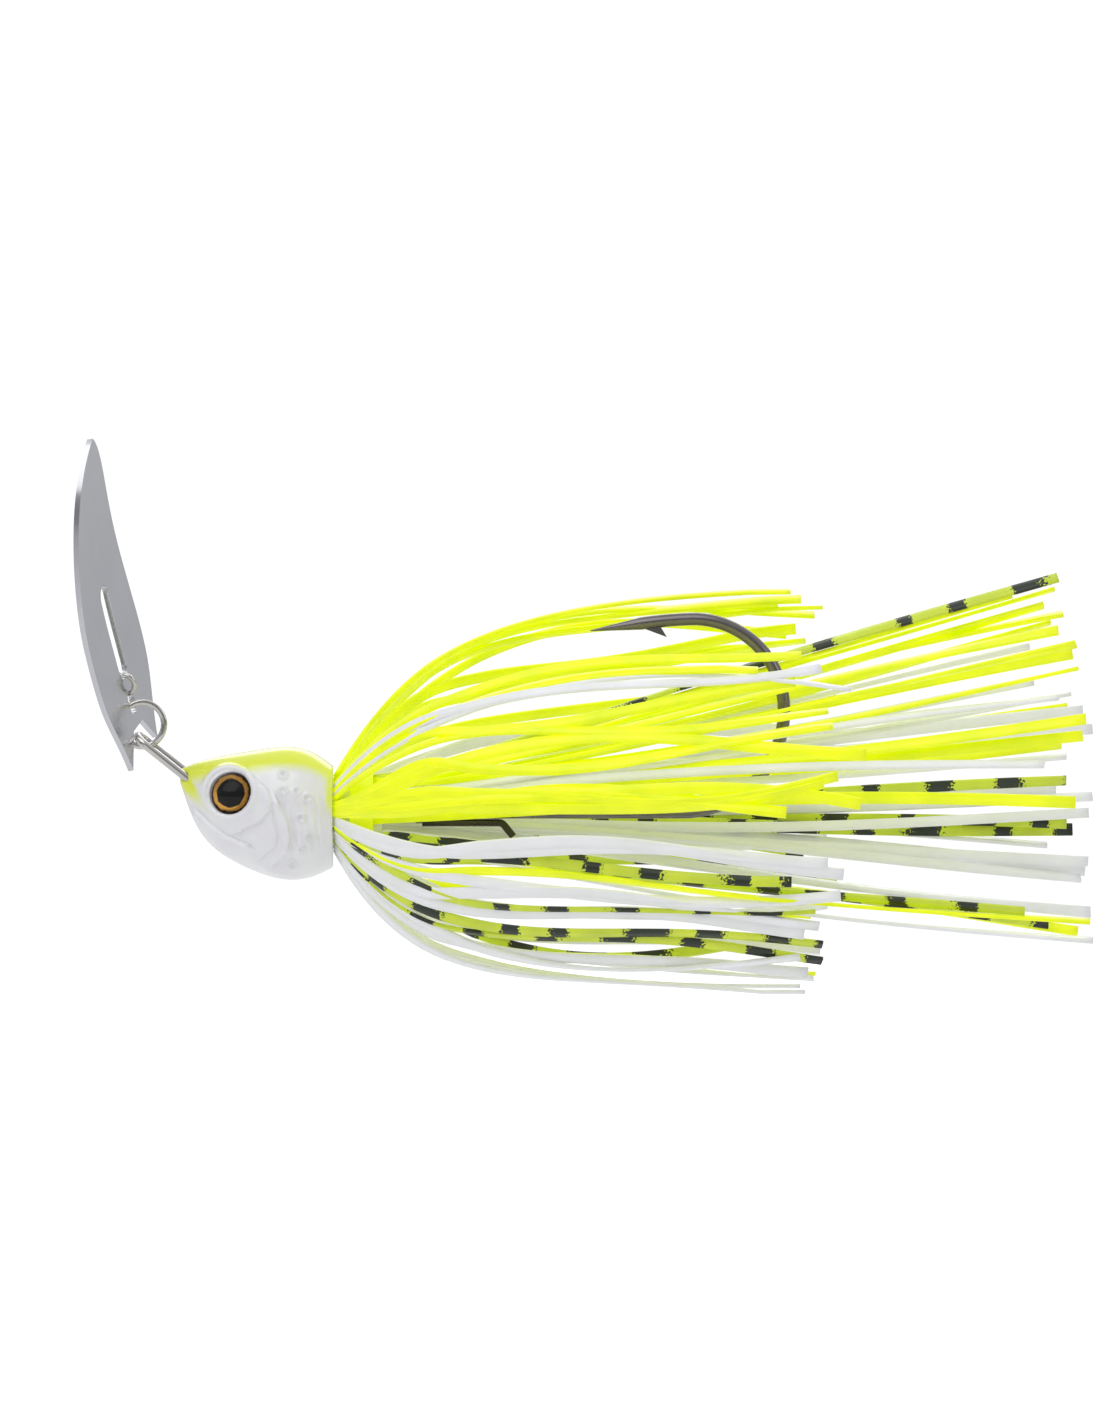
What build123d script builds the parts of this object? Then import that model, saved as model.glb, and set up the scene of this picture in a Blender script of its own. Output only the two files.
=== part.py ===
from build123d import *
import os
from math import cos, exp, radians, sin, sqrt, tan

# A bladed swim jig. X runs back from the head towards the hook bend, Z is up, Y is across.
# The origin is on the axis of the hook shank, at the flat rear face of the head. Sizes in mm.

# Head casting
HEAD_TOP = [(-16.6, 4.7), (-15.6, 5.1), (-13.5, 5.8), (-11.0, 6.3), (-8.0, 6.8), (-4.8, 7.1), (-2.2, 6.5), (0, 5.05)]
HEAD_BOTTOM = [3.2, 0.3, -3.3, -5.2, -6.6, -7.35, -7.0, -6.0]
HEAD_HALF_WIDTH = [0.9, 1.9, 3.3, 4.4, 5.1, 5.2, 4.8, 4.2]

# Hook
SHANK_RADIUS = 0.7
SHANK_FRONT = -10.7
SHANK_STRAIGHT_END = 38.0
BEND_REAR = (49.0, 12.0)
BEND_TOP = (38.8, 21.0)
POINT_TAPER_START = 33.5
POINT_TAPER = 5.6
POINT_DROP_ANGLE = 6.0
POINT_TIP_RADIUS = 0.06
BARB_LENGTH = 2.8
BARB_DEPTH = 0.8
BARB_THICKNESS = 0.5

# Wire loop in the nose
NOSE = (-16.6, 4.6)
NECK_RISE_ANGLE = 38.5
NECK_LENGTH = 5.9
NECK_EMBEDDED = 5.0
LOOP_WIRE_RADIUS = 0.45
LOOP_RADIUS = 1.15
LOOP_TWIST = 12.0

# Bait keeper under the shank
KEEPER_WIRE_RADIUS = 0.4
KEEPER_START = 9.0
KEEPER_LENGTH = 9.4
KEEPER_HOOK_DROP = 1.5
KEEPER_WRAP_LENGTH = 1.4
KEEPER_WRAP_WALL = 0.5
KEEPER_GAP = 0.05

# Eyes
EYE_X = -11.2
EYE_Z = 2.2
EYE_RADIUS = 2.3
EYE_SURFACE_Y = 4.15
EYE_FORWARD = 18.0
EYE_UP = 12.0
EYE_SOCKET_DEPTH = 0.9
EYE_SOCKET_GAP = 0.05
FOIL_THICKNESS = 0.15
PUPIL_RADIUS = 1.4
PUPIL_THICKNESS = 0.1
EYE_DOME_HEIGHT = 1.35

# Skirt: strands pass through a collar on the head's rear post and fold back over it
STRAND_WIDTH = 0.7
STRAND_THICKNESS = 0.45
STRANDS_EACH_SIDE = 20
STRAND_TOP_GAP_ANGLE = 18.0
LAYER_GAP = 0.15
POST_RADIUS = 3.05
POST_LENGTH = 5.4
POST_GAP = 0.02
COLLAR_START = 1.9
COLLAR_LENGTH = 2.5
COLLAR_WALL = 0.85
COLLAR_GAP = 0.04
FOLD_START = 1.7
FOLD_TURN = 115.0
OUTER_LENGTH = 51.0
OUTER_LENGTH_SPREAD = 3.5
OUTER_RADIUS = 21.0
OUTER_RADIUS_TOP_EXTRA = 2.0
INNER_LENGTH = 80.5
INNER_LENGTH_SPREAD = 2.7
INNER_RADIUS = 13.0
INNER_RADIUS_TOP_EXTRA = 13.0
INNER_LIFT = 0.05

# Split ring
RING_RADIUS = 2.35
RING_WIRE_RADIAL = 0.8
RING_WIRE_ACROSS = 0.42
RING_COIL_GAP = 0.02
RING_PLAY = 0.15
RING_LEAN_ANGLE = 69.5
RING_YAW = 8.0

# Blade: w across, s up along the blade, b back
BLADE_HANG_ANGLE = 123.0
BLADE_ACROSS = Vector(0.227, 0.912, 0.342)
BLADE_LEAN_ANGLE = 14.5
BLADE_THICKNESS = 0.6
BLADE_STRAIGHT = 9.0
BLADE_BEND_RADIUS = 70.0
BLADE_TAIL_HALF = 5.3
BLADE_TAIL_DROP = 5.6
BLADE_OUTLINE = [(7.2, -1.1), (8.6, 2.0), (9.2, 7.0), (8.9, 11.5), (7.8, 16.5), (6.2, 22.0), (4.4, 26.2), (2.0, 29.2)]
BLADE_TOP = 30.6
NOTCH_BOTTOM_HALF = 1.8
NOTCH_BOTTOM_DROP = 2.3
RING_HOLE_RADIUS = 1.0
RING_HOLE_STRETCH = 0.9
SLOT_WIDTH = 3.0
SLOT_LENGTH = 10.8
SLOT_BAR = 1.3

# Line snap
SNAP_WIRE_RADIUS = 0.275
SNAP_PLAY = 0.1
SNAP_LENGTH = 9.8
SNAP_HALF_WIDTH = 0.85
SNAP_TURN_RADIUS = 0.6
SNAP_GATE_FROM_TOP = 3.4
SNAP_GATE_GAP = 0.4

os.makedirs("parts", exist_ok=True)


def write(shape, name):
    export_step(shape, "parts/" + name + ".step")


def side_point(point, y=0.0):
    """A point given as (x, z) in the lure's middle plane."""
    return Vector(point[0], y, point[1])


def wire_along(path, radius):
    """A round wire swept along a path."""
    return sweep(Plane(path @ 0, z_dir=path % 0) * Circle(radius), path=path)


def make_hook():
    """Shank, two-arc bend, tapered point with a barb below it."""
    shank = Line(Vector(SHANK_FRONT, 0, 0), Vector(SHANK_STRAIGHT_END, 0, 0))
    rear = TangentArc(shank @ 1, side_point(BEND_REAR), tangent=shank % 1)
    top = TangentArc(rear @ 1, side_point(BEND_TOP), tangent=rear % 1)
    reach = BEND_TOP[0] - POINT_TAPER_START
    half_turn = (top % 1).rotate(Axis.Y, -POINT_DROP_ANGLE / 2)
    spear = TangentArc(top @ 1, top @ 1 + half_turn * reach, tangent=top % 1)
    wire = wire_along(Wire([shank, rear, top, spear]), SHANK_RADIUS)
    tip = Solid.make_cone(SHANK_RADIUS, POINT_TIP_RADIUS, POINT_TAPER, Plane(spear @ 1, z_dir=spear % 1))
    root = spear @ 1
    barb_outline = Polyline(
        (root.X - 0.3, root.Z - SHANK_RADIUS / 2),
        (root.X + BARB_LENGTH, root.Z - SHANK_RADIUS - BARB_DEPTH),
        (root.X + BARB_LENGTH * 0.75, root.Z - SHANK_RADIUS / 2),
        close=True,
    )
    barb = extrude(Plane.XZ * make_face(barb_outline), BARB_THICKNESS / 2, both=True)
    return wire + tip + barb


def neck_direction():
    return Vector(-cos(radians(NECK_RISE_ANGLE)), 0, sin(radians(NECK_RISE_ANGLE)))


def loop_tip():
    """Centre of the nose loop's wire at its far end, where the split ring hangs."""
    return side_point(NOSE) + neck_direction() * NECK_LENGTH


def make_nose_loop():
    """A U of wire with both legs cast in the nose, the left leg a little lower."""
    out = neck_direction()
    centre = loop_tip() - out * LOOP_RADIUS
    down = Vector(-out.Z, 0, out.X)
    across = Vector(0, 1, 0) * (LOOP_RADIUS * cos(radians(LOOP_TWIST))) - down * (LOOP_RADIUS * sin(radians(LOOP_TWIST)))
    leg_end = side_point(NOSE) - out * NECK_EMBEDDED
    path = Wire([
        Line(leg_end - across, centre - across),
        ThreePointArc(centre - across, loop_tip(), centre + across),
        Line(centre + across, leg_end + across),
    ])
    return wire_along(path, LOOP_WIRE_RADIUS)


def make_keeper():
    """A wrap round the shank with a straight wire behind it that turns down at its end."""
    wrap_inner = SHANK_RADIUS + KEEPER_GAP / 2
    wrap_plane = Plane(Vector(KEEPER_START, 0, 0), z_dir=(1, 0, 0))
    wrap = extrude(wrap_plane * Circle(wrap_inner + KEEPER_WRAP_WALL), KEEPER_WRAP_LENGTH)
    wrap -= extrude(wrap_plane * Circle(wrap_inner), KEEPER_WRAP_LENGTH)
    z = -(SHANK_RADIUS + KEEPER_GAP + KEEPER_WIRE_RADIUS)
    bend = KEEPER_START + KEEPER_LENGTH
    corner = FilletPolyline(
        Vector(KEEPER_START + KEEPER_WRAP_LENGTH / 2, 0, z),
        Vector(bend, 0, z),
        Vector(bend + 1.2, 0, z - KEEPER_HOOK_DROP),
        radius=KEEPER_WIRE_RADIUS * 2,
    )
    return wrap + (wire_along(corner, KEEPER_WIRE_RADIUS) - extrude(wrap_plane * Circle(wrap_inner), 20.0))


def eye_plane(side):
    """Plane of an eye on the head's skin, its normal pointing out of the head."""
    forward = sin(radians(EYE_FORWARD))
    up = sin(radians(EYE_UP))
    out = sqrt(1 - forward ** 2 - up ** 2)
    return Plane(Vector(EYE_X, side * EYE_SURFACE_Y, EYE_Z), z_dir=Vector(-forward, side * out, up))


def make_eye(side):
    """Foil disc, black pupil disc on it, and a clear dome over both."""
    floor = eye_plane(side).offset(-EYE_SOCKET_DEPTH)
    foil_top = floor.offset(FOIL_THICKNESS)
    foil = extrude(floor * Circle(EYE_RADIUS), FOIL_THICKNESS)
    pupil = extrude(foil_top * Circle(PUPIL_RADIUS), PUPIL_THICKNESS)
    ball_radius = (EYE_RADIUS ** 2 + EYE_DOME_HEIGHT ** 2) / (2 * EYE_DOME_HEIGHT)
    ball = foil_top.offset(EYE_DOME_HEIGHT - ball_radius) * Sphere(ball_radius)
    dome = ball & extrude(foil_top * Circle(EYE_RADIUS), EYE_DOME_HEIGHT + 1)
    return foil, pupil, dome - pupil


def make_head(hook, nose_loop):
    """Lofted fish head with a rear post, cast round the hook and the loop, with eye sockets."""
    sections = []
    for (x, top), bottom, half_width in zip(HEAD_TOP, HEAD_BOTTOM, HEAD_HALF_WIDTH):
        plane = Plane(Vector(x, 0, (top + bottom) / 2), x_dir=(0, 1, 0), z_dir=(1, 0, 0))
        sections.append(plane * Ellipse(half_width, (top - bottom) / 2))
    head = loft(sections)
    head += extrude(Plane.YZ.offset(-1) * Circle(POST_RADIUS - POST_GAP), POST_LENGTH + 1)
    for side in (-1, 1):
        floor = eye_plane(side).offset(-EYE_SOCKET_DEPTH)
        head -= extrude(floor * Circle(EYE_RADIUS + EYE_SOCKET_GAP), 4.0)
    return head - hook - nose_loop


def strand_centre_line(angle, layer, jitter):
    """Points (x, r) from the long inner end, through the collar, round the fold, to the short outer end."""
    upness = max(0.0, cos(radians(angle)))
    pitch = STRAND_THICKNESS + LAYER_GAP
    r_collar = POST_RADIUS + STRAND_THICKNESS / 2 + layer * pitch
    fold_radius = 1.35 - layer * pitch
    inner_end = INNER_LENGTH + INNER_LENGTH_SPREAD * jitter
    outer_end = OUTER_LENGTH - OUTER_LENGTH_SPREAD * jitter
    inner_radius = INNER_RADIUS + INNER_RADIUS_TOP_EXTRA * upness
    outer_radius = OUTER_RADIUS + OUTER_RADIUS_TOP_EXTRA * upness
    inner_start = COLLAR_START + COLLAR_LENGTH + 0.2
    points = []
    for t in (1.0, 0.8, 0.6, 0.4, 0.25, 0.14, 0.07, 0.03, 0.0):
        lift = (1 + INNER_LIFT) * t * t / (t + INNER_LIFT)
        x = inner_start + t * (inner_end - inner_start)
        points.append((x, r_collar + lift * (inner_radius - r_collar)))
    points.append(((inner_start + FOLD_START) / 2, r_collar))
    steps = 6
    for step in range(steps + 1):
        a = radians(-90 - FOLD_TURN * step / steps)
        x = FOLD_START + fold_radius * cos(a)
        points.append((x, r_collar + fold_radius + fold_radius * sin(a)))
    x_fold, r_fold = points[-1]
    reach = (outer_radius - r_fold) / tan(radians(180 - FOLD_TURN))
    for t in (0.02, 0.05, 0.09, 0.15, 0.25, 0.4, 0.6, 0.8, 1.0):
        x = x_fold + t * (outer_end - x_fold)
        points.append((x, r_fold + (outer_radius - r_fold) * (1 - exp(-(x - x_fold) / reach))))
    return points


def offset_points(points, distance):
    """The points moved sideways by a distance, square to the line through their neighbours."""
    moved = []
    last = len(points) - 1
    for i, (x, r) in enumerate(points):
        x0, r0 = points[max(i - 1, 0)]
        x1, r1 = points[min(i + 1, last)]
        length = sqrt((x1 - x0) ** 2 + (r1 - r0) ** 2)
        moved.append((x - distance * (r1 - r0) / length, r + distance * (x1 - x0) / length))
    return moved


def make_strand(angle, side, layer, jitter):
    """One silicone strand, flat, in its own plane through the shank axis."""
    outward = Vector(0, side * sin(radians(angle)), cos(radians(angle)))
    plane = Plane(Vector(0, 0, 0), x_dir=(1, 0, 0), z_dir=Vector(1, 0, 0).cross(outward))
    centre = strand_centre_line(angle, layer, jitter)
    one = Spline(*offset_points(centre, STRAND_THICKNESS / 2))
    other = Spline(*offset_points(centre, -STRAND_THICKNESS / 2))
    outline = make_face([one, Line(one @ 1, other @ 1), other, Line(other @ 0, one @ 0)])
    return extrude(plane * outline, STRAND_WIDTH / 2, both=True)


def strand_colour(angle, index):
    """Chartreuse above, mixed at the sides, white and barred below."""
    if angle < 80:
        return "barred" if index % 7 == 3 else ("white" if index % 5 == 4 else "chartreuse")
    if angle < 125:
        return ("white", "chartreuse", "barred")[index % 3]
    return ("white", "barred")[index % 2]


def make_strands():
    """All strands, grouped by colour and side."""
    groups = {}
    spacing = (180 - STRAND_TOP_GAP_ANGLE) / (STRANDS_EACH_SIDE - 1)
    for side, side_name in ((-1, "left"), (1, "right")):
        count = STRANDS_EACH_SIDE if side < 0 else STRANDS_EACH_SIDE - 1
        for index in range(count):
            angle = STRAND_TOP_GAP_ANGLE + spacing * index
            jitter = ((index * 3 + (side > 0)) % 5) / 2 - 1
            colour = strand_colour(angle, index)
            strand = make_strand(angle, side, index % 2, jitter)
            groups.setdefault("skirt_" + colour + "_" + side_name, []).append(strand)
    return groups


def make_collar():
    """The band that grips the strands on the post."""
    outer_strand = POST_RADIUS + 2 * STRAND_THICKNESS + LAYER_GAP
    bore = sqrt(outer_strand ** 2 + (STRAND_WIDTH / 2) ** 2) + COLLAR_GAP
    plane = Plane.YZ.offset(COLLAR_START)
    return extrude(plane * (Circle(bore + COLLAR_WALL) - Circle(bore)), COLLAR_LENGTH)


def ring_centre():
    """The ring hangs on the loop tip with a little play."""
    distance = RING_RADIUS - RING_WIRE_RADIAL / 2 - LOOP_WIRE_RADIUS - RING_PLAY
    angle = radians(RING_LEAN_ANGLE)
    return loop_tip() + Vector(cos(angle), 0, sin(angle)) * distance


def make_split_ring():
    """Two flat turns side by side, joined by the short step between them."""
    plane = Plane(ring_centre(), z_dir=Vector(sin(radians(RING_YAW)), -cos(radians(RING_YAW)), 0))
    flat = Circle(RING_RADIUS + RING_WIRE_RADIAL / 2) - Circle(RING_RADIUS - RING_WIRE_RADIAL / 2)
    turn = extrude(plane.offset(RING_COIL_GAP / 2) * flat, RING_WIRE_ACROSS)
    other = extrude(plane.offset(-RING_COIL_GAP / 2 - RING_WIRE_ACROSS) * flat, RING_WIRE_ACROSS)
    step_box = Box(RING_WIRE_RADIAL, RING_WIRE_RADIAL, RING_COIL_GAP * 2)
    step = plane * Pos(RING_RADIUS, 0, 0) * step_box
    return turn + other + step


def blade_plane():
    """Blade frame at the ring hole: x across, y up along the blade, z back towards the head."""
    angle = radians(BLADE_HANG_ANGLE)
    hole = ring_centre() + Vector(cos(angle), 0, sin(angle)) * RING_RADIUS
    across = BLADE_ACROSS.normalized()
    lean = radians(BLADE_LEAN_ANGLE)
    along_side = Vector(-sin(lean), 0, cos(lean))
    along_y = -(across.X * along_side.X + across.Z * along_side.Z) / across.Y
    along = (along_side + Vector(0, along_y, 0)).normalized()
    return Plane(hole, x_dir=across, z_dir=across.cross(along))


def make_blade():
    """A bowed sheet with a pointed top and a forked tail, cut with the ring hole and the snap slot."""
    half = BLADE_THICKNESS / 2
    bend = Vector(BLADE_STRAIGHT, BLADE_BEND_RADIUS)
    inner = CenterArc(bend, BLADE_BEND_RADIUS - half, -90, 24)
    outer = CenterArc(bend, BLADE_BEND_RADIUS + half, -90, 24)
    foot = -BLADE_TAIL_DROP - 2
    side_face = make_face([
        Line((foot, half), (BLADE_STRAIGHT, half)),
        inner,
        Line(inner @ 1, outer @ 1),
        outer,
        Line((BLADE_STRAIGHT, -half), (foot, -half)),
        Line((foot, -half), (foot, half)),
    ])
    sheet = extrude(Plane.YZ * side_face, 12.0, both=True)
    right = Spline((BLADE_TAIL_HALF, -BLADE_TAIL_DROP), *BLADE_OUTLINE, (0, BLADE_TOP))
    left = mirror(right, about=Plane.YZ)
    notch = Polyline(
        (BLADE_TAIL_HALF, -BLADE_TAIL_DROP),
        (NOTCH_BOTTOM_HALF, -NOTCH_BOTTOM_DROP),
        (-NOTCH_BOTTOM_HALF, -NOTCH_BOTTOM_DROP),
        (-BLADE_TAIL_HALF, -BLADE_TAIL_DROP),
    )
    outline = make_face(right.edges() + left.edges() + notch.edges())
    outline -= Pos(0, RING_HOLE_STRETCH / 2) * SlotCenterToCenter(
        RING_HOLE_STRETCH, 2 * RING_HOLE_RADIUS, rotation=90
    )
    slot_bottom = RING_HOLE_STRETCH + RING_HOLE_RADIUS + SLOT_BAR
    outline -= Pos(0, slot_bottom + SLOT_LENGTH / 2) * SlotOverall(SLOT_LENGTH, SLOT_WIDTH, rotation=90)
    return blade_plane() * (sheet & extrude(outline, 20.0, both=True))


def snap_bar_height():
    """Middle of the bar between the ring hole and the slot, along the blade."""
    return RING_HOLE_STRETCH + RING_HOLE_RADIUS + SLOT_BAR / 2


def make_snap():
    """A slim wire snap: small round end about the blade's bar, long body in front of the slot."""
    ring = sqrt(SLOT_BAR ** 2 + BLADE_THICKNESS ** 2) / 2 + SNAP_WIRE_RADIUS + SNAP_PLAY
    bar = snap_bar_height()
    near = -SNAP_TURN_RADIUS
    far = near - 2 * SNAP_HALF_WIDTH
    top = bar + SNAP_LENGTH

    def at(s, b):
        return Vector(0, s, b)

    gate = top - SNAP_GATE_FROM_TOP
    first = Line(at(gate, far), at(top, far))
    crown = ThreePointArc(at(top, far), at(top + SNAP_HALF_WIDTH, near - SNAP_HALF_WIDTH), at(top, near))
    down = Line(at(top, near), at(bar + ring + SNAP_TURN_RADIUS, near))
    turn = TangentArc(down @ 1, at(bar + ring, 0), tangent=down % 1)
    back = ThreePointArc(turn @ 1, at(bar, ring), at(bar - ring, 0))
    front = TangentArc(back @ 1, at(bar, -ring), tangent=back % 1)
    rise = Spline(front @ 1, at(gate - SNAP_GATE_GAP, far), tangents=(front % 1, (0, 1, 0)))
    path = Wire([first, crown, down, turn, back, front, rise])
    return blade_plane() * wire_along(path, SNAP_WIRE_RADIUS)


hook = make_hook()
nose_loop = make_nose_loop()
write(make_head(hook, nose_loop), "jig_head")
write(hook, "hook")
write(nose_loop, "nose_loop")
write(make_keeper(), "bait_keeper")
for eye_side, eye_name in ((-1, "left"), (1, "right")):
    foil, pupil, dome = make_eye(eye_side)
    write(foil, "eye_foil_" + eye_name)
    write(pupil, "pupil_" + eye_name)
    write(dome, "eye_dome_" + eye_name)
write(make_collar(), "skirt_collar")
for group_name, strands in make_strands().items():
    write(Compound(children=strands), group_name)
write(make_split_ring(), "split_ring")
write(make_blade(), "blade")
write(make_snap(), "line_snap")
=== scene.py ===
import math
import random

import bmesh
import bpy
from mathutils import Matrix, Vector, noise


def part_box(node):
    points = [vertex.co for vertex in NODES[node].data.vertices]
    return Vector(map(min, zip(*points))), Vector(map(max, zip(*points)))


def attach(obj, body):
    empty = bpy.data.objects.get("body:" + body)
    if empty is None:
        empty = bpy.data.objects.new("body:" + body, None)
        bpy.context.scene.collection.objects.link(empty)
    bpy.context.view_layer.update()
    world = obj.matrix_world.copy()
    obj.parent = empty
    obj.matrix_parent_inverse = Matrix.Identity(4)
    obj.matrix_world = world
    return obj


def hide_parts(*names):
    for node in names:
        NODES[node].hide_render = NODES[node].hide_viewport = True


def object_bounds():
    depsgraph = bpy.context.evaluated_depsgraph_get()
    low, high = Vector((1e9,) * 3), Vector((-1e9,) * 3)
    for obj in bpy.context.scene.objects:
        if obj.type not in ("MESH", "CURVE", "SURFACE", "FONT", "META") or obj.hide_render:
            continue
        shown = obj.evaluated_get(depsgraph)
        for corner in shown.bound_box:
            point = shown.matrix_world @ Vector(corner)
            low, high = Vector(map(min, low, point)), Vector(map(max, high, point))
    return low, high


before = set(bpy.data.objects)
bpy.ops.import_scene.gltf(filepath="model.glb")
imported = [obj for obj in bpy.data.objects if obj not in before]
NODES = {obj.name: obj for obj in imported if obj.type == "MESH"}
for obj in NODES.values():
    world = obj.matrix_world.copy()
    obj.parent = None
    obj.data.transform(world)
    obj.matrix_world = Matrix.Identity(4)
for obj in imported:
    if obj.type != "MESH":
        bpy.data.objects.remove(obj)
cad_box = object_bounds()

MM = 0.001

# ---------------------------------------------------------------- camera and light

LENS = 400.0
SENSOR = 36.0
VIEW_HEIGHT = 154.6 * MM
VIEW_CENTRE = Vector((23.6, 0, 11.0)) * MM
FLOOR_DROP = 0.09
FLOOR_REACH = 6.0
# Strength of the grey surround: from the camera's side to the far side, and what the top adds.
SURROUND_BY_DEPTH = (0.26, 0.56)
SURROUND_BY_HEIGHT = (0.0, 0.35)
SURROUND_SEEN = 1.05


def add_camera():
    """Looks square at the lure's left side from far enough to flatten the perspective."""
    data = bpy.data.cameras.new("camera")
    data.lens = LENS
    data.sensor_width = SENSOR
    data.clip_start = 0.01
    data.clip_end = 40.0
    camera = bpy.data.objects.new("camera", data)
    camera.location = VIEW_CENTRE - Vector((0, VIEW_HEIGHT * LENS / SENSOR, 0))
    camera.rotation_euler = (math.radians(90), 0, 0)
    bpy.context.scene.collection.objects.link(camera)
    bpy.context.scene.camera = camera


def add_area(name, place, target, size, power):
    data = bpy.data.lights.new(name, "AREA")
    data.shape = "RECTANGLE"
    data.size, data.size_y = size
    data.energy = power
    light = bpy.data.objects.new(name, data)
    light.location = place
    light.rotation_euler = (Vector(target) - Vector(place)).to_track_quat("-Z", "Y").to_euler()
    bpy.context.scene.collection.objects.link(light)


def set_range(node, source, target):
    for end, value in zip(("From Min", "From Max", "To Min", "To Max"), source + target):
        node.inputs[end].default_value = value


def add_studio():
    """A pale floor, a white surround and soft boxes above and to each side."""
    floor_z = cad_box[0].z - FLOOR_DROP
    mesh = bpy.data.meshes.new("floor")
    signs = ((-1, -1), (1, -1), (1, 1), (-1, 1))
    corners = [(FLOOR_REACH * x, FLOOR_REACH * y, floor_z) for x, y in signs]
    mesh.from_pydata(corners, [], [(0, 1, 2, 3)])
    floor = bpy.data.objects.new("floor", mesh)
    bpy.context.scene.collection.objects.link(floor)
    mesh.materials.append(floor_material())
    add_area("key", (-0.25, -0.45, 0.55), (0.02, 0, 0), (0.90, 0.70), 2.2)
    add_area("fill", (0.55, -0.35, 0.25), (0.03, 0, 0), (0.30, 0.30), 0.35)
    add_area("back", (0.10, 0.55, 0.45), (0.02, 0, 0), (0.60, 0.30), 1.2)
    world = bpy.data.worlds.new("surround")
    bpy.context.scene.world = world
    world.use_nodes = True
    tree = world.node_tree
    tree.nodes.clear()
    out = tree.nodes.new("ShaderNodeOutputWorld")
    mix = tree.nodes.new("ShaderNodeMixShader")
    seen = tree.nodes.new("ShaderNodeLightPath")
    white = tree.nodes.new("ShaderNodeBackground")
    grey = tree.nodes.new("ShaderNodeBackground")
    white.inputs["Color"].default_value = (1, 1, 1, 1)
    white.inputs["Strength"].default_value = SURROUND_SEEN
    facing = tree.nodes.new("ShaderNodeSeparateXYZ")
    coords = tree.nodes.new("ShaderNodeTexCoord")
    tree.links.new(coords.outputs["Generated"], facing.inputs[0])
    depth = tree.nodes.new("ShaderNodeMapRange")
    set_range(depth, (-0.7, 0.4), SURROUND_BY_DEPTH)
    depth.interpolation_type = "SMOOTHSTEP"
    tree.links.new(facing.outputs["Y"], depth.inputs["Value"])
    height = tree.nodes.new("ShaderNodeMapRange")
    set_range(height, (0.1, 0.8), SURROUND_BY_HEIGHT)
    tree.links.new(facing.outputs["Z"], height.inputs["Value"])
    total = tree.nodes.new("ShaderNodeMath")
    tree.links.new(depth.outputs["Result"], total.inputs[0])
    tree.links.new(height.outputs["Result"], total.inputs[1])
    tree.links.new(total.outputs[0], grey.inputs["Strength"])
    grey.inputs["Color"].default_value = (0.97, 0.98, 1.0, 1)
    tree.links.new(seen.outputs["Is Camera Ray"], mix.inputs["Fac"])
    tree.links.new(grey.outputs[0], mix.inputs[1])
    tree.links.new(white.outputs[0], mix.inputs[2])
    tree.links.new(mix.outputs[0], out.inputs["Surface"])
    bpy.context.scene.view_settings.view_transform = "Standard"


# ---------------------------------------------------------------- materials

class Shader:
    """A node material with short calls for the nodes used here."""

    def __init__(self, name, **values):
        self.material = bpy.data.materials.new(name)
        self.material.use_nodes = True
        self.tree = self.material.node_tree
        self.body = self.tree.nodes["Principled BSDF"]
        for key, value in values.items():
            self.body.inputs[key.replace("_", " ").title().replace("Ior", "IOR")].default_value = value

    def node(self, kind, **inputs):
        """A node with its inputs fed by name, or by number as i0, i1."""
        made = self.tree.nodes.new("ShaderNode" + kind)
        for key, value in inputs.items():
            numbered = key[0] == "i" and key[1:].isdigit()
            self.feed(value, made.inputs[int(key[1:]) if numbered else key])
        return made

    def feed(self, value, socket):
        if isinstance(value, bpy.types.NodeSocket):
            self.tree.links.new(value, socket)
        else:
            socket.default_value = value

    def math(self, operation, first, second=0.0):
        made = self.node("Math", i0=first, i1=second)
        made.operation = operation
        return made.outputs[0]

    def noise(self, scale, detail=3.0, coords=None):
        coords = coords or self.node("TexCoord").outputs["Object"]
        return self.node("TexNoise", Vector=coords, Scale=scale, Detail=detail).outputs["Fac"]

    def ramp(self, value, low, high):
        made = self.node("MapRange", Value=value)
        made.inputs["From Min"].default_value = low
        made.inputs["From Max"].default_value = high
        made.interpolation_type = "SMOOTHSTEP"
        return made.outputs["Result"]

    def blend(self, factor, first, second):
        made = self.tree.nodes.new("ShaderNodeMix")
        made.data_type = "RGBA"
        self.feed(factor, made.inputs["Factor"])
        self.feed(first, made.inputs["A"])
        self.feed(second, made.inputs["B"])
        return made.outputs["Result"]

    def colour(self, value):
        self.feed(value, self.body.inputs["Base Color"])

    def rough(self, value):
        self.feed(value, self.body.inputs["Roughness"])

    def bump(self, height, distance, strength=1.0):
        made = self.node("Bump", Height=height, Distance=distance, Strength=strength)
        self.tree.links.new(made.outputs["Normal"], self.body.inputs["Normal"])


def floor_material():
    """A white sheet, lit evenly to the eye, that throws only a little light back up."""
    shader = Shader("pale_floor", roughness=0.9)
    shader.colour(shader.blend(shader.noise(3.0), (0.80, 0.80, 0.80, 1), (0.84, 0.84, 0.84, 1)))
    shader.body.inputs["Emission Color"].default_value = (1, 1, 1, 1)
    seen = shader.node("LightPath").outputs["Is Camera Ray"]
    shader.feed(seen, shader.body.inputs["Emission Strength"])
    return shader.material


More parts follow.
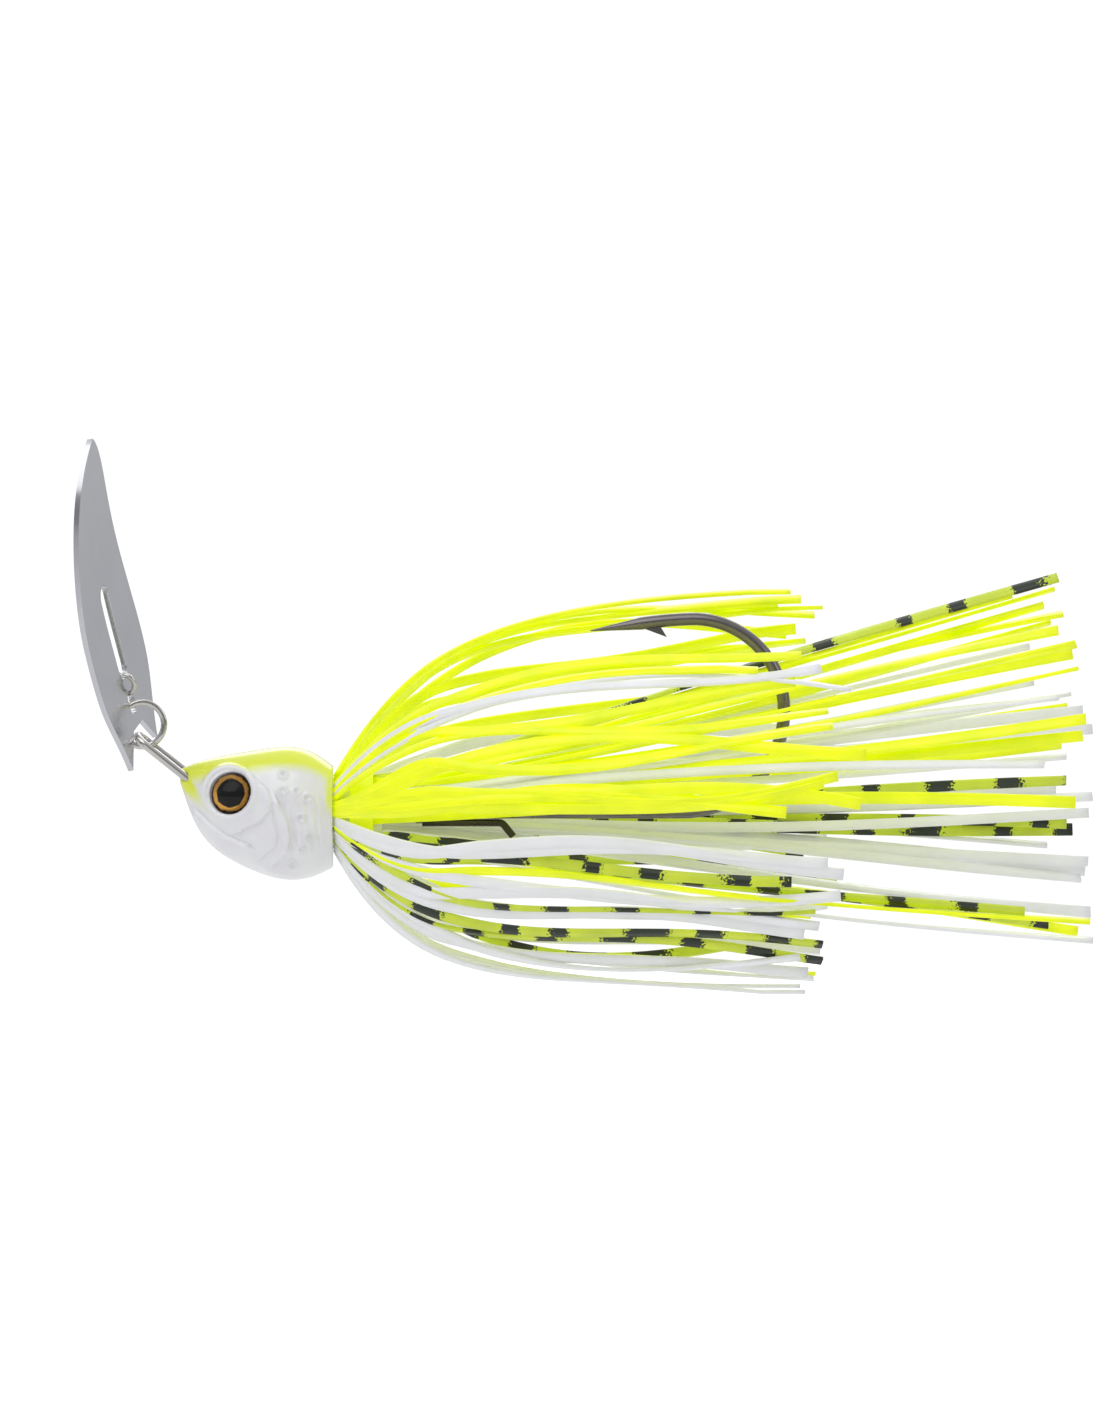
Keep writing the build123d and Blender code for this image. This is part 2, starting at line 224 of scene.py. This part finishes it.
def metal(name, light, dark, low, high, grain=900.0, stretch=(1, 1, 1)):
    """Plated or polished metal: the tone and the gloss wander a little, with fine drawn lines."""
    shader = Shader(name, metallic=1.0)
    coords = shader.node("TexCoord").outputs["Object"]
    mapping = shader.node("Mapping", Vector=coords, Scale=stretch)
    lines = shader.noise(grain, 4.0, mapping.outputs[0])
    patches = shader.noise(160.0, 3.0)
    shader.colour(shader.blend(patches, light, dark))
    shader.rough(shader.math("ADD", shader.math("MULTIPLY", lines, high - low), low))
    shader.bump(lines, 0.000004)
    return shader.material


def head_paint():
    """Pearl white with a chartreuse spray over the back and nose, under a clear coat."""
    shader = Shader("head_paint", coat_weight=0.9, coat_roughness=0.06, roughness=0.32)
    spray = shader.node("Attribute")
    spray.attribute_name = "spray"
    speckle = shader.noise(5200.0, 2.0)
    drift = shader.noise(420.0, 3.0)
    amount = spray.outputs["Fac"]
    for unevenness, strength in ((speckle, 0.30), (drift, 0.18)):
        centred = shader.math("SUBTRACT", unevenness, 0.5)
        amount = shader.math("ADD", amount, shader.math("MULTIPLY", centred, strength))
    patches = shader.ramp(shader.noise(260.0, 2.0), 0.35, 0.65)
    pearl = shader.blend(patches, (0.86, 0.85, 0.89, 1), (0.90, 0.91, 0.91, 1))
    shader.colour(shader.blend(shader.ramp(amount, 0.12, 0.88), pearl, (0.84, 0.93, 0.03, 1)))
    shader.bump(shader.noise(900.0, 2.0), 0.000012)
    return shader.material


def strand_uv(shader):
    """Along the strand in millimetres, and a number that differs from strand to strand."""
    uv = shader.node("UVMap")
    uv.uv_map = "strand"
    parts = shader.node("SeparateXYZ", Vector=uv.outputs[0])
    return parts.outputs[0], parts.outputs[1]


def strand_place(shader, along, along_scale, strand, strand_scale):
    """Noise coordinates that run along the strand and jump from one strand to the next."""
    x = shader.math("MULTIPLY", along, along_scale)
    y = shader.math("MULTIPLY", strand, strand_scale)
    return shader.node("CombineXYZ", X=x, Y=y).outputs[0]


def silicone(name, first, second, painted_glow, bars=False):
    """Moulded silicone: a waxy gloss and faint streaks along the strand; printed black bars on some; and
    painted light, an emission glow that brightens it without any lamp.
    """
    shader = Shader(name, roughness=0.38, coat_weight=0.15, coat_roughness=0.25)
    along, strand = strand_uv(shader)
    streak = shader.noise(1.6, 3.0, strand_place(shader, along, 0.12, strand, 37.0))
    colour = shader.blend(shader.ramp(streak, 0.15, 0.85), first, second)
    if bars:
        wander = strand_place(shader, along, 0.11, strand, 91.0)
        shift = shader.math("MULTIPLY", shader.noise(1.0, 1.0, wander), 1.6)
        shift = shader.math("ADD", shift, shader.math("MULTIPLY", strand, 0.618))
        cycle = shader.math("FRACT", shader.math("ADD", shader.math("MULTIPLY", along, 1 / 7.6), shift))
        grain = shader.math("MULTIPLY", shader.math("SUBTRACT", shader.noise(3600.0, 3.0), 0.5), 0.34)
        edge = shader.math("ABSOLUTE", shader.math("SUBTRACT", cycle, 0.5))
        bar = shader.ramp(shader.math("ADD", edge, grain), 0.21, 0.17)
        colour = shader.blend(bar, colour, (0.012, 0.020, 0.008, 1))
    shader.colour(colour)
    # Painted light: emission in the strand's own colour makes it glow without any lamp and lifts its
    # shade. On the chartreuse it also stands in for the silicone's real fluorescence.
    if painted_glow:
        shader.feed(colour, shader.body.inputs["Emission Color"])
        shader.body.inputs["Emission Strength"].default_value = painted_glow
    shader.rough(shader.math("ADD", shader.math("MULTIPLY", streak, 0.2), 0.28))
    shader.bump(shader.noise(700.0, 2.0), 0.000006)
    return shader.material


# Radii between which the foil's gold begins and between which it darkens, in millimetres.
FOIL_INNER = (1.38, 1.55)
FOIL_OUTER = (1.78, 2.02)


def foil_material(side):
    """Gold foil: an amber ring that darkens to the rim, with fine uneven printing."""
    shader = Shader("eye_foil_" + side, metallic=0.55, roughness=0.3)
    coords = shader.node("TexCoord").outputs["Object"]
    middle = eye_middle(side)
    offset = shader.node("VectorMath", i0=coords, i1=tuple(middle))
    offset.operation = "SUBTRACT"
    length = shader.node("VectorMath", i0=offset.outputs[0])
    length.operation = "LENGTH"
    radius = length.outputs["Value"]
    flecks = shader.math("MULTIPLY", shader.math("SUBTRACT", shader.noise(1800.0, 4.0), 0.5), 0.0005)
    radius = shader.math("ADD", radius, flecks)
    inner = shader.ramp(radius, FOIL_INNER[0] * MM, FOIL_INNER[1] * MM)
    outer = shader.ramp(radius, FOIL_OUTER[0] * MM, FOIL_OUTER[1] * MM)
    gold = shader.blend(inner, (0.10, 0.035, 0.004, 1), (0.66, 0.33, 0.035, 1))
    shader.colour(shader.blend(outer, gold, (0.022, 0.009, 0.003, 1)))
    shader.bump(shader.noise(5000.0, 2.0), 0.00001)
    return shader.material


def pupil_material():
    shader = Shader("eye_pupil", roughness=0.4, specular_ior_level=0.1)
    shader.colour(shader.blend(shader.noise(900.0), (0.002, 0.002, 0.002, 1), (0.005, 0.004, 0.004, 1)))
    return shader.material


def dome_material():
    """Clear resin."""
    shader = Shader("eye_dome", transmission_weight=1.0, ior=1.3, roughness=0.0)
    shader.colour(shader.blend(shader.noise(300.0), (1.0, 0.98, 0.94, 1), (0.98, 0.95, 0.9, 1)))
    return shader.material


PAINT = head_paint()
BLACK_NICKEL = metal("black_nickel", (0.24, 0.22, 0.22, 1), (0.15, 0.14, 0.14, 1), 0.16, 0.34)
BRIGHT_NICKEL = metal("bright_nickel", (0.70, 0.68, 0.65, 1), (0.52, 0.50, 0.48, 1), 0.06, 0.16)
DARK_WIRE = metal("dark_wire", (0.10, 0.09, 0.08, 1), (0.05, 0.045, 0.04, 1), 0.2, 0.4)
BLADE = metal(
    "polished_blade", (0.64, 0.65, 0.68, 1), (0.55, 0.56, 0.59, 1), 0.13, 0.24,
    grain=260.0, stretch=(1, 6, 1),
)
# The last number given to silicone is the strength of its painted glow, an emission that brightens the
# strands and lifts their shade.
CHARTREUSE = silicone("silicone_chartreuse", (0.94, 1.0, 0.0, 1), (0.70, 0.82, 0.0, 1), 0.24)
WHITE = silicone("silicone_white", (0.93, 0.93, 0.96, 1), (0.84, 0.86, 0.83, 1), 0.06)
DOME = dome_material()
PUPIL = pupil_material()
BARRED = silicone("silicone_barred", (0.72, 0.84, 0.04, 1), (0.52, 0.64, 0.04, 1), 0.08, bars=True)


def paint_node(name, material):
    """Puts a material on a carried-over CAD node."""
    mesh = NODES[name].data
    mesh.materials.clear()
    mesh.materials.append(material)


def finish_piece(name, mesh, body, material, replaced):
    """Adds a drawn piece: its material, its body and the CAD nodes it stands in for."""
    piece = bpy.data.objects.new(name, mesh)
    bpy.context.scene.collection.objects.link(piece)
    mesh.materials.clear()
    mesh.materials.append(material)
    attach(piece, body)
    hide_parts(*replaced)


# ---------------------------------------------------------------- head

# Places on the head are (x, z) in millimetres, in the part's frame.
EYE_PLACE = (-11.2, 2.2)
EYE_RIM = 2.75
EYE_EDGE = (2.36, 2.5)
SPRAY_EDGE = (2.45, 3.1)
BUMPS = [
    (-5.35, 4.1), (-5.3, 2.4), (-3.9, 2.3), (-2.7, 1.6),
    (-3.4, -0.6), (-2.55, -2.7), (-3.3, -4.1), (-4.3, -5.7),
]
JAW = [(-16.2, 1.9), (-15.2, 0.5), (-13.6, -1.0), (-11.5, -2.6), (-9.6, -3.4)]
CHEEK = [(-8.4, 3.9), (-7.0, 2.8), (-6.45, 1.2), (-6.7, 0.0), (-8.0, -1.3), (-9.6, -2.0)]
GILL = [(-5.6, 0.8), (-4.7, -0.8), (-4.4, -2.8), (-4.8, -4.5), (-6.2, -5.7)]
GILL_INNER = [(-6.3, -0.6), (-5.8, -2.2), (-6.0, -3.7), (-7.4, -4.8)]
# Each cast line with the height of its step and the depth of its crease, before RELIEF_SCALE.
CAST_LINES = ((JAW, 0.16, 0.22), (CHEEK, 0.14, 0.15), (GILL, 0.24, 0.18), (GILL_INNER, 0.10, 0.10))
NOSE_BAND = [(-16.9, 4.9), (-16.0, 3.2), (-14.8, 1.2), (-13.6, 0.2)]
RELIEF_SCALE = 1.4
VOXEL = 0.14


def smooth(value, low, high):
    t = min(max((value - low) / (high - low), 0.0), 1.0)
    return t * t * (3 - 2 * t)


def distance_to(line, x, z):
    """Distance to a polyline, and on which side of it the point lies."""
    best, side = 1e9, 1.0
    for (ax, az), (bx, bz) in zip(line, line[1:]):
        dx, dz = bx - ax, bz - az
        t = min(max(((x - ax) * dx + (z - az) * dz) / (dx * dx + dz * dz), 0.0), 1.0)
        gap = math.hypot(x - ax - t * dx, z - az - t * dz)
        if gap < best:
            best = gap
            side = 1.0 if dx * (z - az) - dz * (x - ax) > 0 else -1.0
    return best, side


def head_relief(x, z):
    """Height of the cast detail above the plain head, in millimetres before RELIEF_SCALE."""
    eye = math.hypot(x - EYE_PLACE[0], z - EYE_PLACE[1])
    height = 0.20 * math.exp(-((eye - EYE_RIM) / 0.32) ** 2)
    for line, step, crease in CAST_LINES:
        gap, side = distance_to(line, x, z)
        inside = 1 - smooth(gap, 0.0, 1.9)
        height += -side * step * inside * smooth(gap, 0.0, 0.3)
        height -= crease * math.exp(-(gap / 0.16) ** 2)
    for bx, bz in BUMPS:
        gap = math.hypot(x - bx, z - bz)
        height += 0.15 * math.exp(-((gap - 0.42) / 0.13) ** 2) - 0.10 * math.exp(-(gap / 0.22) ** 2)
    if -6.0 < x < -0.6:
        rays = smooth(x, -6.0, -5.0) * (1 - smooth(x, -1.6, -0.7)) * (1 - smooth(abs(z + 1.2), 2.2, 4.2))
        height += 0.05 * rays * math.sin(x * 7.5 + z * 1.3)
        height += 0.10 * rays * noise.noise(Vector((x * 1.6, z * 0.7, 3.0)))
    return height


def spray_amount(x, z, normal, top):
    """How much chartreuse lies on a spot: the back, a band down the nose, and the rear edge."""
    eye = math.hypot(x - EYE_PLACE[0], z - EYE_PLACE[1])
    back = smooth(z - top, -3.6, -0.9) * 0.85 + smooth(normal.z, 0.55, 0.9) * 0.35
    nose, _ = distance_to(NOSE_BAND, x, z)
    front = (1 - smooth(nose, 0.2, 1.3)) * (0.25 + 0.75 * smooth(z, 0.0, 3.5))
    trailing = smooth(x, -1.3, -0.4) * smooth(z, -1.5, 1.5) * 0.7
    amount = max(back, front, trailing)
    return min(amount, 1.0) * smooth(eye, *SPRAY_EDGE)


def make_head():
    """The cast head, remeshed fine from its CAD solid, with the cast relief raised on it."""
    source = NODES["jig_head"]
    welded = bmesh.new()
    welded.from_mesh(source.data)
    bmesh.ops.remove_doubles(welded, verts=welded.verts, dist=1e-6)
    mesh = bpy.data.meshes.new("head_blank")
    welded.to_mesh(mesh)
    welded.free()
    blank = bpy.data.objects.new("head_blank", mesh)
    bpy.context.scene.collection.objects.link(blank)
    remesh = blank.modifiers.new("remesh", "REMESH")
    remesh.mode = "VOXEL"
    remesh.voxel_size = VOXEL * MM
    settle = blank.modifiers.new("settle", "SMOOTH")
    settle.factor = 0.5
    settle.iterations = 3
    graph = bpy.context.evaluated_depsgraph_get()
    fine = bpy.data.meshes.new_from_object(blank.evaluated_get(graph))
    bpy.data.objects.remove(blank)
    places = [v.co / MM for v in fine.vertices]
    normals = [v.normal.copy() for v in fine.vertices]
    tops = {}
    for p in places:
        key = round(p.x * 2)
        tops[key] = max(tops.get(key, -99.0), p.z)
    spray = fine.attributes.new("spray", "FLOAT", "POINT")
    for i, (p, n) in enumerate(zip(places, normals)):
        eye = math.hypot(p.x - EYE_PLACE[0], p.z - EYE_PLACE[1])
        sideways = smooth(abs(n.y), 0.25, 0.6)
        shell = smooth(p.x, -16.6, -15.6) * (1 - smooth(p.x, -0.5, -0.15)) * (1 - smooth(n.x, 0.6, 0.9))
        clear = smooth(eye, *EYE_EDGE)
        fine.vertices[i].co += n * head_relief(p.x, p.z) * RELIEF_SCALE * sideways * shell * clear * MM
        spray.data[i].value = spray_amount(p.x, p.z, n, tops[round(p.x * 2)])
    for polygon in fine.polygons:
        polygon.use_smooth = True
    fine.name = "head"
    finish_piece("head", fine, "jig", PAINT, ["jig_head"])


# ---------------------------------------------------------------- eyes

EYE_NORMAL = (-0.309, 0.928, 0.208)
FOIL_THICKNESS = 0.15
LENS_RADIUS = 2.32
LENS_HEIGHT = 1.32
LENS_FOOT = -0.17
LENS_BEVEL = 0.06
LENS_SIDES = 64
LENS_STEPS = 24


def eye_normal(side):
    sign = -1 if side == "left" else 1
    return Vector((EYE_NORMAL[0], sign * EYE_NORMAL[1], EYE_NORMAL[2])).normalized()


def eye_middle(side):
    """Middle of the foil's face, in metres."""
    low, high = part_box("eye_foil_" + side)
    return (low + high) / 2 + eye_normal(side) * (FOIL_THICKNESS / 2 * MM)


def make_lens(side):
    """A poured resin dome that sits round the foil, so light reaches the foil through resin alone."""
    normal = eye_normal(side)
    base = eye_middle(side)
    u = normal.orthogonal().normalized()
    v = normal.cross(u)
    ball = (LENS_RADIUS ** 2 + LENS_HEIGHT ** 2) / (2 * LENS_HEIGHT)
    edge = math.asin(LENS_RADIUS / ball)
    profile = [
        (0.0, LENS_FOOT), (LENS_RADIUS - LENS_BEVEL, LENS_FOOT),
        (LENS_RADIUS, LENS_FOOT + LENS_BEVEL), (LENS_RADIUS, 0.0),
    ]
    for i in range(1, LENS_STEPS):
        a = edge * (1 - i / LENS_STEPS)
        profile.append((ball * math.sin(a), LENS_HEIGHT - ball + ball * math.cos(a)))
    build = bmesh.new()
    foot = build.verts.new(base + normal * profile[0][1] * MM)
    crown = build.verts.new(base + normal * LENS_HEIGHT * MM)
    rings = []
    for r, h in profile[1:]:
        ring = []
        for k in range(LENS_SIDES):
            a = 2 * math.pi * k / LENS_SIDES
            offset = u * (r * math.cos(a)) + v * (r * math.sin(a)) + normal * h
            ring.append(build.verts.new(base + offset * MM))
        rings.append(ring)
    for k in range(LENS_SIDES):
        n = (k + 1) % LENS_SIDES
        build.faces.new((foot, rings[0][n], rings[0][k]))
        build.faces.new((crown, rings[-1][k], rings[-1][n]))
        for one, two in zip(rings, rings[1:]):
            build.faces.new((one[k], one[n], two[n], two[k]))
    bmesh.ops.recalc_face_normals(build, faces=build.faces)
    for face in build.faces:
        face.smooth = True
    mesh = bpy.data.meshes.new("eye_lens_" + side)
    build.to_mesh(mesh)
    build.free()
    finish_piece("eye_lens_" + side, mesh, "jig", DOME, ["eye_dome_" + side])


# ---------------------------------------------------------------- skirt

# The strands' free ends as (colour, x, z, side), in millimetres; side -1 is the lure's left.
SHORT_ENDS = [
    ("chartreuse", 49.8, 24.0, 1), ("chartreuse", 51.0, 23.2, 1), ("chartreuse", 53.4, 22.3, 1),
    ("chartreuse", 52.5, 21.5, 1), ("chartreuse", 50.5, 20.0, 1), ("chartreuse", 51.6, 18.7, 1),
    ("chartreuse", 50.7, 17.0, -1), ("chartreuse", 46.0, 15.4, -1), ("white", 56.0, 13.3, -1),
    ("chartreuse", 55.0, 12.2, 1), ("chartreuse", 53.5, 11.0, -1), ("white", 58.0, 8.7, 1),
    ("chartreuse", 54.0, 9.4, -1), ("chartreuse", 57.6, 6.3, -1), ("white", 55.0, 7.6, 1),
    ("chartreuse", 54.5, 4.0, -1), ("chartreuse", 52.0, 2.0, 1), ("white", 53.0, 0.4, 1),
    ("barred", 50.5, -1.2, 1), ("white", 54.0, -2.6, 1), ("barred", 51.5, -4.6, 1),
    ("white", 55.2, -6.6, -1), ("barred", 55.0, -8.0, 1), ("white", 54.9, -8.9, -1),
    ("barred", 52.2, -10.6, -1), ("chartreuse", 52.2, -11.6, 1), ("white", 51.0, -13.0, -1),
    ("barred", 53.0, -14.2, -1), ("white", 53.2, -15.1, 1), ("barred", 53.0, -16.0, -1),
    ("white", 51.5, -17.3, -1), ("chartreuse", 52.6, -17.7, 1), ("white", 51.3, -19.5, -1),
    ("white", 50.9, -19.0, 1), ("chartreuse", 48.5, 22.6, 1), ("chartreuse", 49.5, 19.4, 1),
    ("white", 52.8, 15.6, -1), ("chartreuse", 47.0, 17.9, 1), ("chartreuse", 50.0, 14.2, -1),
    ("white", 53.5, -5.4, -1), ("chartreuse", 53.0, 3.2, -1), ("chartreuse", 57.0, 1.0, -1),
    ("chartreuse", 49.0, 0.1, -1), ("white", 52.6, -12.2, -1), ("white", 50.6, -15.6, -1),
    ("white", 54.0, -10.2, 1), ("barred", 49.6, -7.4, -1), ("chartreuse", 51.8, -9.6, -1),
    ("white", 52.4, -18.2, 1), ("barred", 50.4, -13.4, 1), ("white", 56.2, -3.4, 1),
]
LONG_ENDS = [
    ("barred", 79.0, 25.6, 1), ("chartreuse", 78.7, 24.2, 1), ("chartreuse", 78.3, 20.8, 1),
    ("chartreuse", 78.6, 19.8, -1), ("chartreuse", 80.5, 18.3, -1), ("white", 76.0, 18.1, 1),
    ("chartreuse", 80.7, 17.1, 1), ("chartreuse", 80.8, 15.5, -1), ("white", 78.6, 12.4, -1),
    ("chartreuse", 80.1, 11.3, 1), ("chartreuse", 81.5, 10.1, -1), ("white", 82.9, 8.9, 1),
    ("chartreuse", 81.2, 8.4, -1), ("white", 79.5, 6.0, -1), ("barred", 80.0, 3.3, 1),
    ("white", 83.0, 1.5, 1), ("chartreuse", 80.4, 1.2, -1), ("white", 82.5, -0.3, 1),
    ("barred", 80.1, -1.3, 1), ("barred", 80.8, -2.1, 1), ("white", 82.4, -5.6, 1),
    ("white", 82.1, -6.4, 1), ("white", 81.6, -7.3, 1), ("barred", 75.0, -10.8, -1),
    ("white", 82.7, -11.1, 1), ("chartreuse", 82.1, -11.9, -1), ("barred", 78.0, -12.4, 1),
    ("chartreuse", 81.3, -13.0, 1), ("white", 82.4, -13.9, -1), ("chartreuse", 79.5, 7.2, 1),
    ("white", 81.8, 10.9, 1), ("white", 77.0, 5.2, -1), ("white", 80.0, 12.8, -1),
    ("chartreuse", 77.5, 22.6, 1), ("chartreuse", 79.6, 21.6, 1), ("chartreuse", 74.0, 23.4, 1),
    ("white", 76.5, 14.2, 1), ("white", 79.0, 2.4, 1), ("white", 78.0, -3.6, 1),
]
STRAND_WIDTH = 1.22
STRAND_THICKNESS = 0.42
STRAND_STEPS = 44
SKIRT_SEED = 11
# A short strand leaves the head at this (x, radius), this steeply.
FOLD = (0.3, 4.1)
FOLD_SLOPE = math.tan(math.radians(62))
# Radius of the flare at mid-height, how much it tilts, and what the upper half has on top.
SHORT_RADIUS = 21.4
SHORT_TILT = 1.6
SHORT_CREST = 1.6
FLATTEN = 0.9
# Share of its final angle that a strand has at the head: most strands, and the bunch on the left
# side whose ends lie between these heights.
GATHER = 0.94
GATHER_BUNCH = 0.35
BUNCH_HEIGHTS = (2.5, 10)
# A long strand leaves the collar at this (x, radius).
LONG_START = (4.4, 3.7)
LONG_LIFT = 0.05
LONG_NUMBER = 50


def short_path(x_end, z_end, side, rng):
    """From the fold at the head's rear face out round the flare to the short free end."""
    radius = SHORT_RADIUS
    for _ in range(4):
        angle = math.acos(max(-0.995, min(0.995, z_end / radius)))
        radius = SHORT_RADIUS + SHORT_TILT * math.cos(angle) + (SHORT_CREST if z_end > 0 else 0)
    radius = max(radius, abs(z_end) * 1.01)
    reach = (radius - FOLD[1]) / FOLD_SLOPE
    bow = rng.uniform(-1.5, 0.6)
    swing = rng.uniform(-0.17, 0.17)
    phase = rng.uniform(0, 6.28)
    bunched = side < 0 and BUNCH_HEIGHTS[0] < z_end < BUNCH_HEIGHTS[1]
    gather = GATHER_BUNCH if bunched else GATHER
    points = []
    for i in range(STRAND_STEPS + 1):
        t = (i / STRAND_STEPS) ** 1.35
        x = FOLD[0] + t * (x_end - FOLD[0])
        r = FOLD[1] + (radius - FOLD[1]) * (1 - math.exp(-(x - FOLD[0]) / reach))
        r += bow * math.sin(math.pi * min(t * 1.1, 1.0)) * t
        fan = gather + (1 - gather) * smooth(x, 0.0, 12.0)
        a = math.pi / 2 + (angle - math.pi / 2) * fan
        a += (swing * math.sin(math.pi * t) + 0.03 * math.sin(7 * t + phase)) * smooth(x, 3.0, 16.0)
        points.append(Vector((x, side * FLATTEN * r * math.sin(a), r * math.cos(a))))
    shift = z_end - points[-1].z
    return [p + Vector((0, 0, shift * smooth(p.x, 2.0, x_end))) for p in points]


def long_path(x_end, z_end, side, rng):
    """From the collar's rear nearly straight back to the long free end."""
    spread = 8.5 + 5.0 * (1 - abs(z_end) / 26)
    y_end = side * spread * rng.uniform(0.6, 1.0)
    angle = math.atan2(abs(y_end), z_end)
    radius = math.hypot(y_end, z_end)
    turn = rng.uniform(-0.45, 0.45)
    bow = rng.uniform(-2.0, 2.0)
    sag = rng.uniform(-1.6, 1.2)
    points = []
    for i in range(STRAND_STEPS + 1):
        t = i / STRAND_STEPS
        x = LONG_START[0] + t * (x_end - LONG_START[0])
        lift = (1 + LONG_LIFT) * t * t / (t + LONG_LIFT)
        r = LONG_START[1] + lift * (radius - LONG_START[1])
        a = angle + turn * (1 - t) ** 2 + 0.02 * math.sin(5 * t + bow)
        wave = math.sin(math.pi * t)
        points.append(Vector((x, side * r * math.sin(a) + bow * wave, r * math.cos(a) + sag * wave)))
    return points


def add_strand(build, uv_layer, points, number, rng, width, lean):
    """A flat ribbon with softly rounded edges that twists a little along its length."""
    half, thick = width / 2, STRAND_THICKNESS / 2
    section = [(-1, -0.55), (-0.86, -1), (0, -1), (0.86, -1), (1, -0.55)]
    section += [(-a, -b) for a, b in section]
    twist_end = rng.uniform(-0.9, 0.9)
    twist_wave = rng.uniform(-0.35, 0.35)
    rings, travelled = [], [0.0]
    for a, b in zip(points, points[1:]):
        travelled.append(travelled[-1] + (b - a).length)
    for i, place in enumerate(points):
        ahead = points[min(i + 1, len(points) - 1)] - points[max(i - 1, 0)]
        tangent = ahead.normalized()
        outward = Vector((0, place.y, place.z)).normalized()
        across = tangent.cross(outward).normalized()
        normal = across.cross(tangent)
        t = i / (len(points) - 1)
        turn = lean + twist_end * t * t + twist_wave * math.sin(math.pi * 2 * t)
        u = across * math.cos(turn) + normal * math.sin(turn)
        v = normal * math.cos(turn) - across * math.sin(turn)
        corners = [place + u * (a * half) + v * (b * thick) for a, b in section]
        rings.append([build.verts.new(corner * MM) for corner in corners])
    count = len(section)
    for i, (one, two) in enumerate(zip(rings, rings[1:])):
        for k in range(count):
            face = build.faces.new((one[k], one[(k + 1) % count], two[(k + 1) % count], two[k]))
            face.smooth = True
            for loop, s in zip(face.loops, (i, i, i + 1, i + 1)):
                loop[uv_layer].uv = (travelled[s], number)
    for ring, s, flip in ((rings[0], 0, False), (rings[-1], -1, True)):
        cap = build.faces.new(ring if flip else list(reversed(ring)))
        for loop in cap.loops:
            loop[uv_layer].uv = (travelled[s], number)


def make_skirt():
    """One piece for each colour on each side, as the strands come in tabs."""
    rng = random.Random(SKIRT_SEED)
    groups = {}
    for number, (colour, x, z, side) in enumerate(SHORT_ENDS):
        groups.setdefault((colour, side), []).append((number, short_path(x, z, side, rng)))
    for number, (colour, x, z, side) in enumerate(LONG_ENDS):
        groups.setdefault((colour, side), []).append((number + LONG_NUMBER, long_path(x, z, side, rng)))
    materials = {"chartreuse": CHARTREUSE, "white": WHITE, "barred": BARRED}
    for (colour, side), strands in groups.items():
        build = bmesh.new()
        uv_layer = build.loops.layers.uv.new("strand")
        for number, points in strands:
            width = STRAND_WIDTH * rng.uniform(0.88, 1.12)
            add_strand(build, uv_layer, points, number, rng, width, rng.uniform(-0.35, 0.35))
        bmesh.ops.recalc_face_normals(build, faces=build.faces)
        suffix = colour + ("_left" if side < 0 else "_right")
        name = "strands_" + suffix
        mesh = bpy.data.meshes.new(name)
        build.to_mesh(mesh)
        build.free()
        finish_piece(name, mesh, "jig", materials[colour], ["skirt_" + suffix])


# ---------------------------------------------------------------- split ring

RING_RADIUS = 2.4
RING_YAW = math.radians(8)
RING_SECTION = (0.33, 0.195)
RING_PITCH = 0.44
RING_CUT = math.radians(-48)
RING_TURNS = 2
RING_COVER = 0.985
RING_STEPS = 220
RING_SIDES = 20
RING_SQUARENESS = 0.8


def make_ring():
    """Two close turns of flattened wire; the ends show as steps on each face."""
    low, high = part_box("split_ring")
    centre = (low + high) / 2 / MM
    u = Vector((math.cos(RING_YAW), math.sin(RING_YAW), 0))
    n = Vector((math.sin(RING_YAW), -math.cos(RING_YAW), 0))
    up = Vector((0, 0, 1))
    build = bmesh.new()
    rings = []
    for i in range(RING_STEPS + 1):
        turn = i / RING_STEPS * RING_TURNS
        angle = RING_CUT + turn * 2 * math.pi * RING_COVER
        out = u * math.cos(angle) + up * math.sin(angle)
        cross = smooth(turn, 0.9, 1.08) - 0.5
        ring = []
        for k in range(RING_SIDES):
            a = 2 * math.pi * k / RING_SIDES
            side = math.copysign(abs(math.cos(a)) ** RING_SQUARENESS, math.cos(a)) * RING_SECTION[0]
            lift = math.copysign(abs(math.sin(a)) ** RING_SQUARENESS, math.sin(a)) * RING_SECTION[1]
            place = centre + out * (RING_RADIUS + side) + n * (cross * RING_PITCH + lift)
            ring.append(build.verts.new(place * MM))
        rings.append(ring)
    for one, two in zip(rings, rings[1:]):
        for k in range(RING_SIDES):
            after = (k + 1) % RING_SIDES
            face = build.faces.new((one[k], one[after], two[after], two[k]))
            face.smooth = True
    build.faces.new(list(reversed(rings[0])))
    build.faces.new(rings[-1])
    bmesh.ops.recalc_face_normals(build, faces=build.faces)
    mesh = bpy.data.meshes.new("coiled_ring")
    build.to_mesh(mesh)
    build.free()
    finish_piece("coiled_ring", mesh, "ring", BRIGHT_NICKEL, ["split_ring"])


# ---------------------------------------------------------------- the rest

add_camera()
add_studio()
make_head()
make_skirt()
paint_node("hook", BLACK_NICKEL)
paint_node("nose_loop", BRIGHT_NICKEL)
paint_node("bait_keeper", DARK_WIRE)
make_ring()
paint_node("blade", BLADE)
paint_node("line_snap", BRIGHT_NICKEL)
paint_node("skirt_collar", CHARTREUSE)
for eye_side in ("left", "right"):
    paint_node("eye_foil_" + eye_side, foil_material(eye_side))
    paint_node("pupil_" + eye_side, PUPIL)
    make_lens(eye_side)
